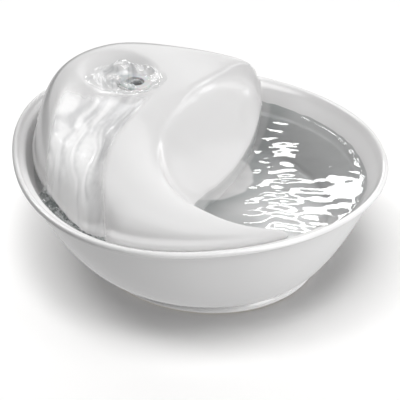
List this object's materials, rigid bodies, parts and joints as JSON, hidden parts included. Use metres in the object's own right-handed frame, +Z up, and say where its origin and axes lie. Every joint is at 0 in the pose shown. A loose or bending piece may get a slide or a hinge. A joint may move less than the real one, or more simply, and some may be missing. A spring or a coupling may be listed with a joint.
{
  "type": "pet water fountain",
  "caption": "Glazed ceramic pet fountain: egg-shaped bowl with a lift-off wave cover that carries a spout dish and a channel over a hidden pump and filter.",
  "frame": {"origin": "centre of the bowl's outline, on the surface that it stands on", "axes": "+X from the tall left side towards the open pool and the bowl's narrow end, +Y to the back, +Z up"},
  "size_m": [0.285, 0.2776, 0.1408],
  "materials": {
    "glaze": "gloss",
    "clear_rubber": "satin",
    "black_rubber": "matte",
    "pump_plastic": "satin",
    "grey_plastic": "satin",
    "white_plastic": "satin",
    "lamination": "satin",
    "winding": "satin",
    "resin": "gloss",
    "magnet": "matte",
    "shaft_ceramic": "satin",
    "foam": "matte",
    "fleece": "matte",
    "carbon": "matte"
  },
  "bodies": {
    "base": {"bowl": "glaze", "pump_housing": "pump_plastic", "rear_cap": "pump_plastic", "stator_core": "lamination", "stator_coil_1": "winding", "stator_coil_2": "winding", "potting_resin": "resin", "chamber_seal": "black_rubber", "chamber_cover": "grey_plastic", "rotor_shaft": "shaft_ceramic", "front_bush": "black_rubber", "rear_bush": "black_rubber", "cord_gland": "black_rubber", "suction_cup_1": "clear_rubber", "suction_cup_2": "clear_rubber", "suction_cup_3": "clear_rubber", "suction_cup_4": "clear_rubber", "riser_tube": "clear_rubber", "filter_housing": "white_plastic"},
    "cover": {"cover": "glaze", "spout_seal": "clear_rubber"},
    "impeller": {"impeller_wheel": "grey_plastic", "rotor_magnet": "magnet"},
    "faceplate": {"intake_faceplate": "pump_plastic", "intake_foam": "foam"},
    "slider": {"flow_slider": "grey_plastic"},
    "cartridge": {"cartridge_frame": "white_plastic", "filter_fleece": "fleece", "carbon_fill": "carbon"}
  },
  "joints": [
    {"name": "cover_lift", "type": "slide", "parent": "base", "child": "cover", "axis": [0, 0, 1], "range_m": [0, 0.1]},
    {"name": "impeller_spin", "type": "hinge", "parent": "base", "child": "impeller", "pos_m": [-0.046, 0.024, 0.037], "axis": [0, 1, 0], "continuous": true},
    {"name": "faceplate_pull", "type": "slide", "parent": "base", "child": "faceplate", "axis": [0, 1, 0], "range_m": [0, 0.012]},
    {"name": "flow_adjust", "type": "slide", "parent": "faceplate", "child": "slider", "axis": [1, 0, 0], "range_m": [0, 0.008]},
    {"name": "filter_lift", "type": "slide", "parent": "base", "child": "cartridge", "axis": [0, 0, 1], "range_m": [0, 0.018]}
  ]
}
